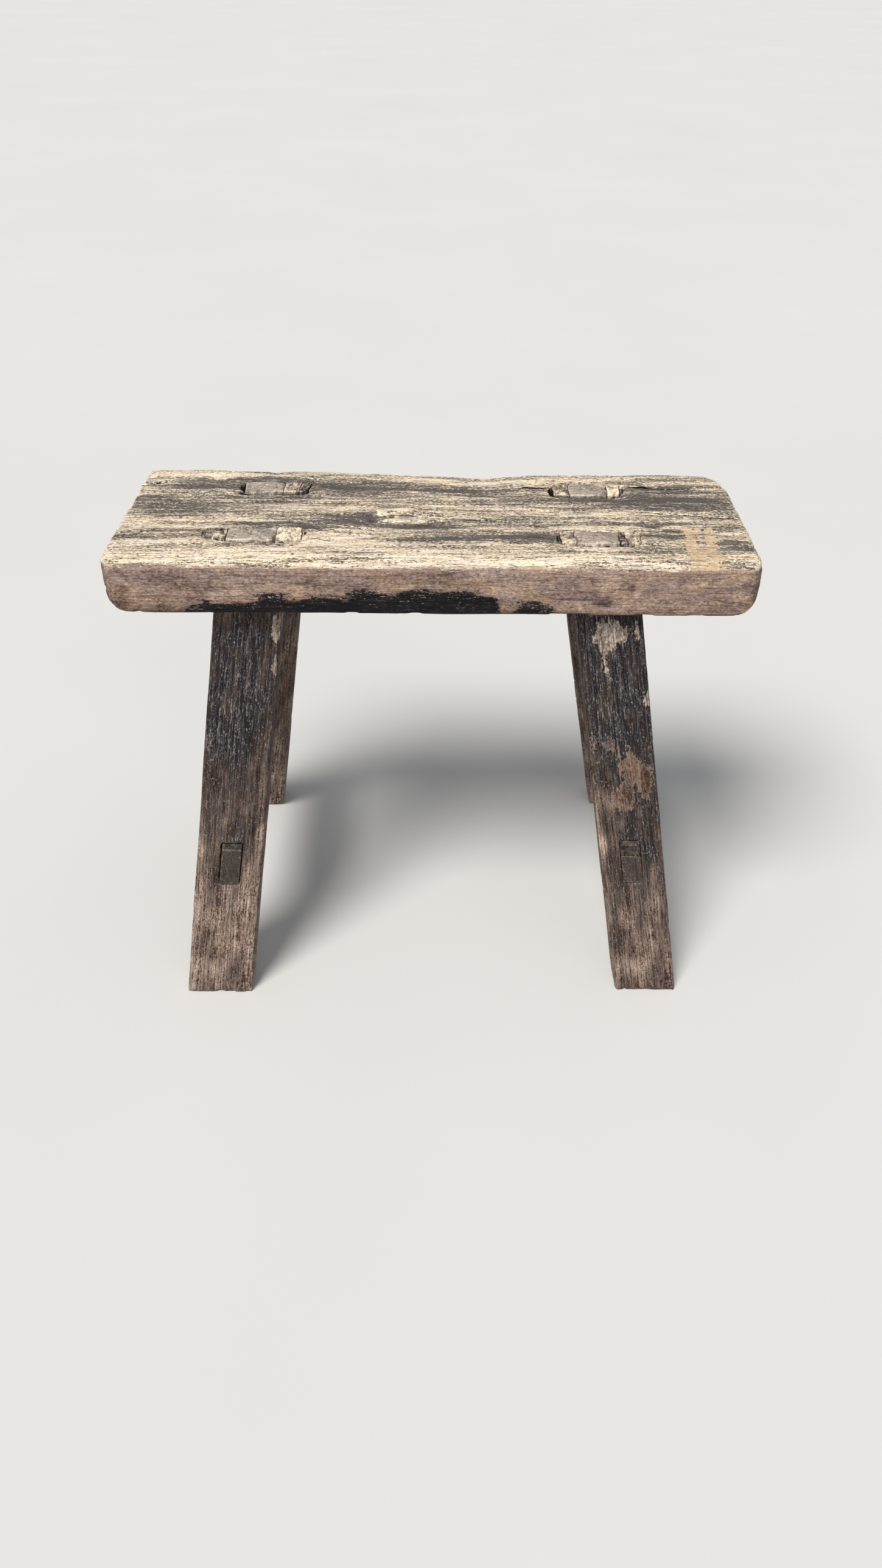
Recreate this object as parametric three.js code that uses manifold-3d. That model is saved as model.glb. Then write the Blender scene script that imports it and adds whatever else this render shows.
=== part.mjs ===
// Four-legged wooden milking stool: a plank seat on four leaning legs.
//
// Each leg ends in a tenon that goes right through the seat and is wedged from
// above. On each side a stretcher runs from the front leg to the back leg; its
// tenons go right through both legs and are wedged from outside.
//
// Millimetres, +Z up. The origin is on the ground under the middle of the seat,
// +X runs along the seat and +Y points to the back.

import * as THREE from 'three';
import { mergeVertices } from 'three/addons/utils/BufferGeometryUtils.js';
import Module from 'manifold-3d';

// ---- driving dimensions ----

const SEAT_LENGTH = 305;
const SEAT_FRONT = -51;
const SEAT_BACK = 54.5;
const SEAT_THICKNESS = 28.2;
const SEAT_TOP = 234.5;
const SEAT_BOTTOM = SEAT_TOP - SEAT_THICKNESS;

const LEG_DEPTH = 18.4;
const LEG_EDGE_ROUND = 1.8;
const LEG_HEAD_WIDTH = 33;

const SEAT_TENON_DEPTH = 13;
const SEAT_WEDGE_TIP = 1.2;
const SEAT_WEDGE_TIP_HEIGHT = 3;

const STRETCHER_THICKNESS = 14;
const STRETCHER_SHOULDER = 3;
const STRETCHER_TENON_THICKNESS = 10.2;
const STRETCHER_WEDGE_TIP = 0.8;
const STRETCHER_WEDGE_LENGTH = 15;

const GAP = 0.3;            // clearance that keeps neighbouring pieces separate
const OVERSHOOT = 6;        // how far a cutter runs past the face it breaks through
const CURVE_STEPS = 5;

// Each leg runs straight from its foot on the ground to its head in the plane of
// the seat's top. Distances across the head are measured outward from the leg's
// axis, towards the nearer end of the seat: tenon is its [inner, outer] edge, and
// inner and outer list the wedges on each side of it, counted away from the tenon,
// with the thickness that shows in the seat's top.
const LEGS = [
  {
    name: 'front_left', side: -1, foot: [-113.5, -85], head: [-83.5, -22.3], footWidth: 34.8,
    tenon: [-9.9, 13.2],
    inner: [{ name: 'seat_wedge_front_left_inner', thickness: 11.6 }],
    outer: [{ name: 'seat_wedge_front_left_outer', thickness: 10 }],
  },
  {
    name: 'front_right', side: 1, foot: [117, -82], head: [79, -24.8], footWidth: 33,
    tenon: [-11.5, 9],
    inner: [{ name: 'seat_wedge_front_right_inner', thickness: 6.6 }],
    outer: [
      { name: 'seat_shim_front_right', thickness: 3 },
      { name: 'seat_wedge_front_right_outer', thickness: 6.6 },
    ],
  },
  {
    name: 'back_left', side: -1, foot: [-113, 81.5], head: [-78, 31.4], footWidth: 33,
    tenon: [-2.7, 16.8],
    inner: [
      { name: 'seat_wedge_back_left_inner', thickness: 7.9 },
      { name: 'seat_shim_back_left', thickness: 4.4 },
    ],
    outer: [],
  },
  {
    name: 'back_right', side: 1, foot: [120, 85], head: [77.3, 31.4], footWidth: 33,
    tenon: [-8.5, 10.7],
    inner: [{ name: 'seat_wedge_back_right_inner', thickness: 7.6 }],
    outer: [{ name: 'seat_wedge_back_right_outer', thickness: 6.4 }],
  },
];

// A stretcher's tenons stand between two heights. The wedges above them are listed
// upwards, with the thickness that shows in the leg's outer face.
const STRETCHERS = [
  {
    name: 'stretcher_left', front: 'front_left', back: 'back_left', bottom: 62.6, top: 81.8,
    frontWedges: [{ name: 'stretcher_wedge_front_left', thickness: 2.4 }],
    backWedges: [{ name: 'stretcher_wedge_back_left', thickness: 2.4 }],
  },
  {
    name: 'stretcher_right', front: 'front_right', back: 'back_right', bottom: 63.6, top: 78.6,
    frontWedges: [
      { name: 'stretcher_shim_front_right', thickness: 4.9 },
      { name: 'stretcher_wedge_front_right', thickness: 3.2 },
    ],
    backWedges: [{ name: 'stretcher_wedge_back_right', thickness: 3.2 }],
  },
];

const OAK = { color: 0x8c7355, roughness: 0.85, metalness: 0 };
const DARK_WOOD = { color: 0x4b3d33, roughness: 0.8, metalness: 0 };
const END_GRAIN = { color: 0x6a5c50, roughness: 0.9, metalness: 0 };

// ---- solids ----

const wasm = await Module();
wasm.setup();

function toSolid(geometry) {
  const bare = geometry.clone();
  bare.deleteAttribute('normal');
  bare.deleteAttribute('uv');
  const merged = mergeVertices(bare, 1e-4);
  return new wasm.Manifold(new wasm.Mesh({
    numProp: 3,
    vertProperties: new Float32Array(merged.attributes.position.array),
    triVerts: new Uint32Array(merged.index.array),
  }));
}

function toGeometry(solid) {
  const mesh = solid.getMesh();
  const geometry = new THREE.BufferGeometry();
  geometry.setAttribute('position', new THREE.BufferAttribute(mesh.vertProperties, 3));
  geometry.setIndex(new THREE.BufferAttribute(mesh.triVerts, 1));
  return geometry;
}

// A closed outline through corners [x, y, radius], each one rounded off.
function roundedOutline(corners) {
  const points = corners.map(([x, y]) => new THREE.Vector2(x, y));
  const shape = new THREE.Shape();
  corners.forEach(([x, y, radius], i) => {
    const corner = points[i];
    const before = points[(i + points.length - 1) % points.length];
    const after = points[(i + 1) % points.length];
    const from = before.clone().sub(corner).setLength(radius).add(corner);
    const to = after.clone().sub(corner).setLength(radius).add(corner);
    if (i === 0) {
      shape.moveTo(from.x, from.y);
    } else {
      shape.lineTo(from.x, from.y);
    }
    shape.quadraticCurveTo(x, y, to.x, to.y);
  });
  shape.closePath();
  return shape;
}

function polygon(points) {
  return new THREE.Shape(points.map(([x, y]) => new THREE.Vector2(x, y)));
}

const X = new THREE.Vector3(1, 0, 0);
const Y = new THREE.Vector3(0, 1, 0);
const Z = new THREE.Vector3(0, 0, 1);

// The shape's own axes become across and up, and it is extruded either way from the middle.
function slab(shape, across, up, thickness) {
  const settings = { depth: thickness, bevelEnabled: false, curveSegments: CURVE_STEPS };
  const geometry = new THREE.ExtrudeGeometry(shape, settings);
  geometry.translate(0, 0, -thickness / 2);
  const outward = new THREE.Vector3().crossVectors(across, up);
  return geometry.applyMatrix4(new THREE.Matrix4().makeBasis(across, up, outward));
}

// ---- legs ----

const legNamed = Object.fromEntries(LEGS.map((leg) => [leg.name, leg]));

const slope = (leg, axis) => (leg.head[axis] - leg.foot[axis]) / SEAT_TOP;
const depthCentre = (leg, z) => leg.foot[1] + slope(leg, 1) * z;

// Leans an upright solid along the leg's axis, so that level faces stay level.
function lean(geometry, leg) {
  const matrix = new THREE.Matrix4().set(
    1, 0, slope(leg, 0), leg.foot[0],
    0, 1, slope(leg, 1), leg.foot[1],
    0, 0, 1, 0,
    0, 0, 0, 1,
  );
  return geometry.applyMatrix4(matrix);
}

// Edges of the tenon, the wedges and the whole mortise, outward from the leg's axis,
// at a share of the seat's thickness: 0 at its underside and 1 at its top.
function headEdges(leg, share) {
  const edges = { tenon: leg.tenon };
  let outer = leg.tenon[1] + GAP;
  for (const { name, thickness } of leg.outer) {
    const width = THREE.MathUtils.lerp(SEAT_WEDGE_TIP, thickness, share);
    edges[name] = [outer, outer + width];
    outer += width + GAP;
  }
  let inner = leg.tenon[0] - GAP;
  for (const { name, thickness } of leg.inner) {
    const width = THREE.MathUtils.lerp(SEAT_WEDGE_TIP, thickness, share);
    edges[name] = [inner - width, inner];
    inner -= width + GAP;
  }
  edges.mortise = [inner, outer];
  return edges;
}

// A leaning block between two heights whose sides follow the named edges.
function headBlock(leg, name, zLow, zHigh, depth) {
  const share = (z) => (z - SEAT_BOTTOM) / SEAT_THICKNESS;
  const [lowInner, lowOuter] = headEdges(leg, share(zLow))[name];
  const [highInner, highOuter] = headEdges(leg, share(zHigh))[name];
  const corners = [
    [lowInner * leg.side, zLow],
    [lowOuter * leg.side, zLow],
    [highOuter * leg.side, zHigh],
    [highInner * leg.side, zHigh],
  ];
  if (leg.side < 0) {
    corners.reverse();
  }
  return lean(slab(polygon(corners), X, Z, depth), leg);
}

function legSolid(leg) {
  const half = LEG_HEAD_WIDTH / 2;
  const shoulder = SEAT_BOTTOM - GAP;
  const section = roundedOutline([
    [-half, -LEG_DEPTH / 2, LEG_EDGE_ROUND],
    [half, -LEG_DEPTH / 2, LEG_EDGE_ROUND],
    [half, LEG_DEPTH / 2, LEG_EDGE_ROUND],
    [-half, LEG_DEPTH / 2, LEG_EDGE_ROUND],
  ]);
  const post = slab(section, X, Y, shoulder).translate(0, 0, shoulder / 2);
  const points = post.attributes.position;
  for (let i = 0; i < points.count; i += 1) {
    const width = THREE.MathUtils.lerp(leg.footWidth, LEG_HEAD_WIDTH, points.getZ(i) / SEAT_TOP);
    points.setX(i, points.getX(i) * width / LEG_HEAD_WIDTH);
  }
  const tenon = headBlock(leg, 'tenon', shoulder - OVERSHOOT, SEAT_TOP, SEAT_TENON_DEPTH);
  return toSolid(lean(post, leg)).add(toSolid(tenon));
}

// ---- seat ----

function seatSolid() {
  const halfLength = SEAT_LENGTH / 2;
  const taperedLeft = halfLength - 5;
  const taperedRight = halfLength - 1.5;
  const plan = roundedOutline([
    [-halfLength, SEAT_FRONT, 8],
    [halfLength, SEAT_FRONT, 8],
    [taperedRight, SEAT_BACK, 22],
    [-taperedLeft, SEAT_BACK, 7],
  ]);
  const frontView = roundedOutline([
    [-halfLength, SEAT_BOTTOM, 14],
    [halfLength, SEAT_BOTTOM, 12],
    [halfLength, SEAT_TOP, 5],
    [-halfLength, SEAT_TOP, 5],
  ]);
  const endView = roundedOutline([
    [SEAT_FRONT, SEAT_BOTTOM, 3],
    [SEAT_BACK, SEAT_BOTTOM, 4],
    [SEAT_BACK, SEAT_TOP, 4],
    [SEAT_FRONT, SEAT_TOP, 6],
  ]);
  const planSlab = slab(plan, X, Y, SEAT_THICKNESS).translate(0, 0, SEAT_TOP - SEAT_THICKNESS / 2);
  let seat = toSolid(planSlab)
    .intersect(toSolid(slab(frontView, X, Z, 2 * SEAT_BACK)))
    .intersect(toSolid(slab(endView, Y, Z, SEAT_LENGTH)));
  for (const leg of LEGS) {
    const low = SEAT_BOTTOM - OVERSHOOT;
    const high = SEAT_TOP + OVERSHOOT;
    seat = seat.subtract(toSolid(headBlock(leg, 'mortise', low, high, SEAT_TENON_DEPTH + 2 * GAP)));
  }
  return seat;
}

// ---- stretchers ----

// Places a solid modelled in the plane x = 0 on the plane of the two legs' axes.
function spanLegs(geometry, front, back) {
  const lift = (slope(front, 0) + slope(back, 0)) / 2;
  const skew = (back.foot[0] - front.foot[0]) / (back.foot[1] - front.foot[1]);
  const offset = (front.foot[0] + back.foot[0]) / 2;
  const matrix = new THREE.Matrix4().set(
    1, skew, lift, offset,
    0, 1, 0, 0,
    0, 0, 1, 0,
    0, 0, 0, 1,
  );
  return geometry.applyMatrix4(matrix);
}

// Height above the tenon of each wedge and of the mortise's ceiling at a share of the
// way in: 0 at the leg's outer face and 1 at its inner face.
function wedgeHeights(wedges, tenonTop, share) {
  const heights = {};
  let bottom = tenonTop + GAP;
  for (const { name, thickness } of wedges) {
    const height = THREE.MathUtils.lerp(thickness, STRETCHER_WEDGE_TIP, share);
    heights[name] = [bottom, bottom + height];
    bottom += height + GAP;
  }
  heights.ceiling = bottom;
  return heights;
}

// The y of a leg's face at a height; outward is -1 for a front leg and 1 for a back leg,
// and share runs from the outer face to the inner one.
function legFace(leg, outward, z, share) {
  return depthCentre(leg, z) + outward * LEG_DEPTH * (0.5 - share);
}

function legMortise(stretcher, leg, wedges, outward) {
  const before = -OVERSHOOT / LEG_DEPTH;
  const after = 1 + OVERSHOOT / LEG_DEPTH;
  const floor = stretcher.bottom - GAP;
  const ceilingBefore = wedgeHeights(wedges, stretcher.top, before).ceiling;
  const ceilingAfter = wedgeHeights(wedges, stretcher.top, after).ceiling;
  const corners = [
    [legFace(leg, outward, floor, before), floor],
    [legFace(leg, outward, floor, after), floor],
    [legFace(leg, outward, ceilingAfter, after), ceilingAfter],
    [legFace(leg, outward, ceilingBefore, before), ceilingBefore],
  ];
  return slab(polygon(corners), Y, Z, STRETCHER_TENON_THICKNESS + 2 * GAP);
}

function stretcherWedge(stretcher, leg, wedges, outward, name) {
  const tip = STRETCHER_WEDGE_LENGTH / LEG_DEPTH;
  const [lowBottom, lowTop] = wedgeHeights(wedges, stretcher.top, 0)[name];
  const [tipBottom, tipTop] = wedgeHeights(wedges, stretcher.top, tip)[name];
  const corners = [
    [legFace(leg, outward, lowBottom, 0), lowBottom],
    [legFace(leg, outward, tipBottom, tip), tipBottom],
    [legFace(leg, outward, tipTop, tip), tipTop],
    [legFace(leg, outward, lowTop, 0), lowTop],
  ];
  return slab(polygon(corners), Y, Z, STRETCHER_TENON_THICKNESS);
}

function stretcherSolid(stretcher, front, back) {
  const bar = (bottom, top, frontShare, backShare, inset, thickness) => {
    const corners = [
      [legFace(front, -1, bottom, frontShare) + inset, bottom],
      [legFace(back, 1, bottom, backShare) - inset, bottom],
      [legFace(back, 1, top, backShare) - inset, top],
      [legFace(front, -1, top, frontShare) + inset, top],
    ];
    return toSolid(slab(polygon(corners), Y, Z, thickness));
  };
  const low = stretcher.bottom - STRETCHER_SHOULDER;
  const high = stretcher.top + STRETCHER_SHOULDER;
  const tenons = bar(stretcher.bottom, stretcher.top, 0, 0, 0, STRETCHER_TENON_THICKNESS);
  const body = bar(low, high, 1, 1, GAP, STRETCHER_THICKNESS);
  return tenons.add(body);
}

// ---- assembly ----

const stool = new THREE.Group();

function addMesh(group, name, geometry, finish) {
  const mesh = new THREE.Mesh(geometry, new THREE.MeshStandardMaterial(finish));
  mesh.name = name;
  group.add(mesh);
}

addMesh(stool, 'seat_plank', toGeometry(seatSolid()), OAK);

const legSolids = Object.fromEntries(LEGS.map((leg) => [leg.name, legSolid(leg)]));

for (const stretcher of STRETCHERS) {
  const frame = new THREE.Group();
  const front = legNamed[stretcher.front];
  const back = legNamed[stretcher.back];
  const solid = spanLegs(toGeometry(stretcherSolid(stretcher, front, back)), front, back);
  addMesh(frame, stretcher.name, solid, DARK_WOOD);
  const ends = [
    { leg: front, wedges: stretcher.frontWedges, outward: -1 },
    { leg: back, wedges: stretcher.backWedges, outward: 1 },
  ];
  for (const { leg, wedges, outward } of ends) {
    const mortise = spanLegs(legMortise(stretcher, leg, wedges, outward), front, back);
    legSolids[leg.name] = legSolids[leg.name].subtract(toSolid(mortise));
    for (const { name } of wedges) {
      const wedge = stretcherWedge(stretcher, leg, wedges, outward, name);
      addMesh(frame, name, spanLegs(wedge, front, back), END_GRAIN);
    }
  }
  stool.add(frame);
}

for (const leg of LEGS) {
  const joint = new THREE.Group();
  addMesh(joint, `leg_${leg.name}`, toGeometry(legSolids[leg.name]), DARK_WOOD);
  const tip = SEAT_BOTTOM + SEAT_WEDGE_TIP_HEIGHT;
  for (const { name } of [...leg.inner, ...leg.outer]) {
    addMesh(joint, name, headBlock(leg, name, tip, SEAT_TOP, SEAT_TENON_DEPTH), END_GRAIN);
  }
  stool.add(joint);
}

export default stool;
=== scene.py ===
"""An old four-legged wooden milking stool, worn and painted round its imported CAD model.

Every CAD node is remeshed finely and then aged: softened edges, raised grain, cracks, chips, a knot
and a hollowed seat. The same fields drive the materials, so that old paint stays in the hollows and
wood shows where it was rubbed. Shapes are worked out in millimetres and written in metres.
"""

import math

import bpy
import numpy as np
from mathutils import Matrix, Vector


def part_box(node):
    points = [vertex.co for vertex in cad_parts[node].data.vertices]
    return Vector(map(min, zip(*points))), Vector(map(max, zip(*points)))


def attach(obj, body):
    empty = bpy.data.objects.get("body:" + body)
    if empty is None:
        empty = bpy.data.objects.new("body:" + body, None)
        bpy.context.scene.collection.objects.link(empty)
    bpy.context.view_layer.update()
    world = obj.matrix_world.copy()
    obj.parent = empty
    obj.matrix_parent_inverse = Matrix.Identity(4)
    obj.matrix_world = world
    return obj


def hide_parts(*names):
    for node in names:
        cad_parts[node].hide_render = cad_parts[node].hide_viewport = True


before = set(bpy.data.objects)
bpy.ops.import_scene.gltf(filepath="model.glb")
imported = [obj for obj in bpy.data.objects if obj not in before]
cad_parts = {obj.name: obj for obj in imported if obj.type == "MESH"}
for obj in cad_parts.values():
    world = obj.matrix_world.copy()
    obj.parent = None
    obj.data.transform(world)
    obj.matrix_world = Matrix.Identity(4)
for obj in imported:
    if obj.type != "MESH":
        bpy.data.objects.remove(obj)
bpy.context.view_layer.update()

MM = 0.001
# The spacing of each mesh across its grain.
SEAT_VOXEL, LEG_VOXEL, STRETCHER_VOXEL, WEDGE_VOXEL = 0.8, 0.52, 0.5, 0.34
SEAT_LOW, SEAT_HIGH = (np.array(corner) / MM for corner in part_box("seat_plank"))
SEAT_BOTTOM, SEAT_TOP = SEAT_LOW[2], SEAT_HIGH[2]
SEAT_THICKNESS = SEAT_TOP - SEAT_BOTTOM
# The middles of the seat's mortises, which stand in two columns and two rows.
MORTISE_COLUMNS, MORTISE_ROWS = (-83, 78), (-21, 33)
MORTISE_HALF_LENGTH = 24


# ---- repeatable noise, in numbers ----

def smoothstep(low, high, value):
    t = np.clip((value - low) / (high - low), 0, 1)
    return t * t * (3 - 2 * t)


def lattice(cell, seed):
    """A repeatable random number from 0 to 1 for each whole-numbered point."""
    x, y, z = (cell[:, axis].astype(np.int64) for axis in range(3))
    h = (x * 374761393 + y * 668265263 + z * 1440662683 + seed * 974634777) & 0xFFFFFFFF
    h = ((h ^ (h >> 13)) * 1274126177) & 0xFFFFFFFF
    h = ((h ^ (h >> 16)) * 2246822519) & 0xFFFFFFFF
    return (h ^ (h >> 15)) / 0xFFFFFFFF


def value_noise(points, seed):
    """Smooth noise from 0 to 1 with features about one unit across."""
    cell = np.floor(points)
    t = points - cell
    t = t * t * (3 - 2 * t)
    total = np.zeros(len(points))
    for corner in np.ndindex(2, 2, 2):
        weight = np.prod(np.where(corner, t, 1 - t), axis=1)
        total += weight * lattice(cell + corner, seed)
    return total


def fractal(points, size, seed, octaves=3):
    """Layered noise from 0 to 1; size is the largest feature's size along each axis."""
    scaled = np.asarray(points) / np.asarray(size, dtype=float)
    total, weight, reach = 0, 1.0, 0.0
    for octave in range(octaves):
        total = total + weight * value_noise(scaled * 2 ** octave + 17.3 * octave, seed + octave)
        reach += weight
        weight *= 0.55
    return total / reach


def zone_sum(x, y, zones):
    """Adds up soft oval zones, each given as (x, y, half length, half width, amount)."""
    total = np.zeros(len(x))
    for zone_x, zone_y, length, width, amount in zones:
        total += amount * np.exp(-((x - zone_x) / length) ** 2 - ((y - zone_y) / width) ** 2)
    return total


# ---- boards: fine meshes in a frame of their own ----

class Lean:
    """The slant of a leg: its board frame is upright, with level planes kept level."""

    def __init__(self, foot=(0, 0), slope=(0, 0)):
        self.foot = np.array([*foot, 0.0])
        self.slope = np.array([*slope, 0.0])

    def to_board(self, points):
        return points - self.foot - points[:, 2:3] * self.slope

    def to_world(self, points):
        return points + self.foot + points[:, 2:3] * self.slope


def node_points(node):
    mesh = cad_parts[node].data
    points = np.empty(len(mesh.vertices) * 3)
    mesh.vertices.foreach_get("co", points)
    return points.reshape(-1, 3) / MM


def leg_lean(node):
    """Measured on the CAD leg: the middle of its foot, and the middle of its shoulder."""
    points = node_points(node)
    shoulder = points[points[:, 2] < SEAT_BOTTOM - 0.1][:, 2].max()
    middles = []
    for height in (0, shoulder):
        ring = points[np.abs(points[:, 2] - height) < 0.05]
        middles.append((ring.min(axis=0) + ring.max(axis=0)) / 2)
    slope = (middles[1] - middles[0])[:2] / shoulder
    return Lean(middles[0][:2], slope)


class Board:
    """A finely remeshed copy of a CAD node, whose grain runs along one axis of its frame.

    voxel is the mesh's spacing across the grain, and stretch is how much coarser it is along it.
    """

    def __init__(self, node, voxel, along, lean=None, stretch=1.6):
        self.node = node
        self.lean = lean or Lean()
        self.order = {"X": [0, 1, 2], "Y": [1, 0, 2], "Z": [2, 0, 1]}[along]
        squeeze = np.ones(3)
        squeeze[self.order[0]] = stretch
        self.mesh = self._remeshed(voxel, squeeze)
        self.points = self._vectors(self.mesh.vertices, "co") * squeeze
        edges = np.empty(len(self.mesh.edges) * 2, dtype=np.int64)
        self.mesh.edges.foreach_get("vertices", edges)
        self.edges = edges.reshape(-1, 2)
        self.rest = self.points.copy()
        self.facing = self.normals()
        self.grain = self.rest[:, self.order]
        self.fields = {}

    @staticmethod
    def _vectors(items, name):
        values = np.empty(len(items) * 3)
        items.foreach_get(name, values)
        return values.reshape(-1, 3)

    def _remeshed(self, voxel, squeeze):
        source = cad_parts[self.node].data.copy()
        points = self.lean.to_board(node_points(self.node)) / squeeze
        source.vertices.foreach_set("co", points.ravel())
        source.materials.clear()
        holder = bpy.data.objects.new("remesh_holder", source)
        bpy.context.scene.collection.objects.link(holder)
        remesh = holder.modifiers.new("fine", "REMESH")
        remesh.mode = "VOXEL"
        remesh.voxel_size = voxel
        evaluated = holder.evaluated_get(bpy.context.evaluated_depsgraph_get())
        mesh = bpy.data.meshes.new_from_object(evaluated)
        bpy.data.objects.remove(holder)
        bpy.data.meshes.remove(source)
        return mesh

    def normals(self):
        self.mesh.vertices.foreach_set("co", self.points.ravel())
        self.mesh.update()
        return self._vectors(self.mesh.vertex_normals, "vector")

    def world(self):
        return self.lean.to_world(self.points)

    def smoothed(self, steps):
        """The points after steps of averaging with their neighbours."""
        first, second = self.edges.T
        count = len(self.points)
        valence = np.bincount(self.edges.ravel(), minlength=count)[:, None]
        points = self.points.copy()
        for _ in range(steps):
            total = np.stack([
                np.bincount(first, points[second, axis], count)
                + np.bincount(second, points[first, axis], count)
                for axis in range(3)
            ], axis=1)
            points = 0.5 * points + 0.5 * total / valence
        return points

    def soften(self, steps, amount):
        """Rounds the edges, and keeps how far each place gave way as the field edge."""
        change = self.smoothed(steps) - self.points
        inward = -np.sum(change * self.normals(), axis=1)
        self.fields["edge"] = np.clip(inward, 0, None)
        self.points = self.points + change * np.asarray(amount)[..., None]

    def sink(self, depth):
        """Moves the surface inward by depth."""
        self.points = self.points - self.normals() * np.asarray(depth)[:, None]

    def piece(self, material, slot):
        """Turns the board into the Blender object that stands for the CAD node."""
        self.fields["grain"] = self.grain
        self.mesh.vertices.foreach_set("co", (self.world() * MM).ravel())
        for field, values in self.fields.items():
            vector = np.ndim(values) == 2
            kind = "FLOAT_VECTOR" if vector else "FLOAT"
            attribute = self.mesh.attributes.new(field, kind, "POINT")
            attribute.data.foreach_set("vector" if vector else "value", np.ravel(values))
        self.mesh.polygons.foreach_set("use_smooth", np.ones(len(self.mesh.polygons), dtype=bool))
        self.mesh.update()
        name = self.node + "_worn"
        self.mesh.name = name
        self.mesh.materials.append(material)
        made = bpy.data.objects.new(name, self.mesh)
        bpy.context.scene.collection.objects.link(made)
        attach(made, "root")
        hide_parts(self.node)
        return made


# ---- material graphs ----

def colour(red, green, blue):
    """A colour given as 0 to 255, as Blender's linear numbers."""
    srgb = (channel / 255 for channel in (red, green, blue))
    linear = [c / 12.92 if c <= 0.04045 else ((c + 0.055) / 1.055) ** 2.4 for c in srgb]
    return (*linear, 1.0)


class Graph:
    """A material put together by short calls, where a value is a socket or a plain number."""

    def __init__(self, name):
        self.material = bpy.data.materials.new(name)
        self.material.use_nodes = True
        self.nodes = self.material.node_tree.nodes
        self.links = self.material.node_tree.links
        self.shader = self.nodes["Principled BSDF"]

    def feed(self, socket, value):
        if isinstance(value, bpy.types.NodeSocket):
            self.links.new(value, socket)
        else:
            socket.default_value = value

    def add(self, kind, *values, **settings):
        node = self.nodes.new("ShaderNode" + kind)
        for name, setting in settings.items():
            setattr(node, name, setting)
        for socket, value in zip(node.inputs, values):
            self.feed(socket, value)
        return node

    def field(self, name):
        return self.add("Attribute", attribute_name=name).outputs["Fac"]

    def vector(self, name):
        return self.add("Attribute", attribute_name=name).outputs["Vector"]

    def math(self, operation, *values):
        return self.add("Math", *values, operation=operation).outputs[0]

    def times(self, first, second):
        return self.math("MULTIPLY", first, second)

    def total(self, base, *terms):
        """base plus weight * value for each (value, weight)."""
        for value, weight in terms:
            base = self.math("MULTIPLY_ADD", value, weight, base)
        return base

    def sway(self, base, *terms):
        """base plus weight * (value - 0.5) for each (value, weight), where weights are numbers."""
        middle = 0.5 * sum(weight for _, weight in terms)
        return self.math("SUBTRACT", self.total(base, *terms), middle)

    def step(self, value, low, high):
        """A smooth rise from 0 at low to 1 at high."""
        node = self.add("MapRange", value, low, high, 0.0, 1.0, interpolation_type="SMOOTHSTEP")
        return node.outputs[0]

    def noise(self, points, size, detail=3.0, roughness=0.6, shift=0.0, turn=0.0):
        """Noise from 0 to 1 whose largest features have this size, turned about the third axis."""
        scale = tuple(1 / length for length in size)
        if turn:
            points = self.add("Mapping", points, (0, 0, 0), (0, 0, turn), (1, 1, 1)).outputs[0]
        placed = self.add("Mapping", points, (shift, shift, shift), (0, 0, 0), scale).outputs[0]
        node = self.nodes.new("ShaderNodeTexNoise")
        self.feed(node.inputs["Vector"], placed)
        node.inputs["Scale"].default_value = 1.0
        node.inputs["Detail"].default_value = detail
        node.inputs["Roughness"].default_value = roughness
        return node.outputs[0]

    def lines(self, points, size, width, shift=0.0, turn=0.0):
        """Thin broken lines along the longest side of size."""
        wave = self.noise(points, size, 1.5, 0.5, shift, turn)
        off = self.math("ABSOLUTE", self.math("SUBTRACT", wave, 0.5))
        return self.step(off, width, width * 0.3)

    def ramp(self, value, *stops):
        """Runs through colours, each given as (value, red, green, blue)."""
        node = self.add("ValToRGB", value)
        elements = node.color_ramp.elements
        while len(elements) < len(stops):
            elements.new(1.0)
        for element, (position, *shade) in zip(elements, stops):
            element.position = position
            element.color = colour(*shade)
        return node.outputs[0]

    def blend(self, factor, first, second, how="MIX"):
        node = self.add("Mix", data_type="RGBA", blend_type=how)
        self.feed(node.inputs[0], factor)
        self.feed(node.inputs[6], first)
        self.feed(node.inputs[7], second)
        return node.outputs[2]

    def finish(self, base, roughness, height):
        """height is in millimetres."""
        bump = self.nodes.new("ShaderNodeBump")
        bump.inputs["Strength"].default_value = 1.0
        bump.inputs["Distance"].default_value = MM
        self.feed(bump.inputs["Height"], height)
        self.shader.inputs["Specular IOR Level"].default_value = 0.15
        self.feed(self.shader.inputs["Base Color"], base)
        self.feed(self.shader.inputs["Roughness"], roughness)
        self.feed(self.shader.inputs["Normal"], bump.outputs["Normal"])
        return self.material


# ---- camera, light and floor ----

# The photograph's camera: its lens and film in mm, its place in metres, and how far it looks down,
# looks aside and is tilted, in degrees.
LENS, FILM_WIDTH = 27.32, 36
CAMERA_PLACE = (0.00074, -0.54414, 0.47388)
CAMERA_ANGLES = (36.49, 0.52, 0.67)


def add_camera():
    data = bpy.data.cameras.new("camera")
    data.sensor_width = FILM_WIDTH
    data.lens = LENS
    camera = bpy.data.objects.new("camera", data)
    down, aside, tilt = (math.radians(angle) for angle in CAMERA_ANGLES)
    camera.matrix_world = (
        Matrix.Translation(CAMERA_PLACE)
        @ Matrix.Rotation(-aside, 4, "Z")
        @ Matrix.Rotation(math.pi / 2 - down, 4, "X")
        @ Matrix.Rotation(tilt, 4, "Z")
    )
    bpy.context.scene.collection.objects.link(camera)
    bpy.context.scene.camera = camera


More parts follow.
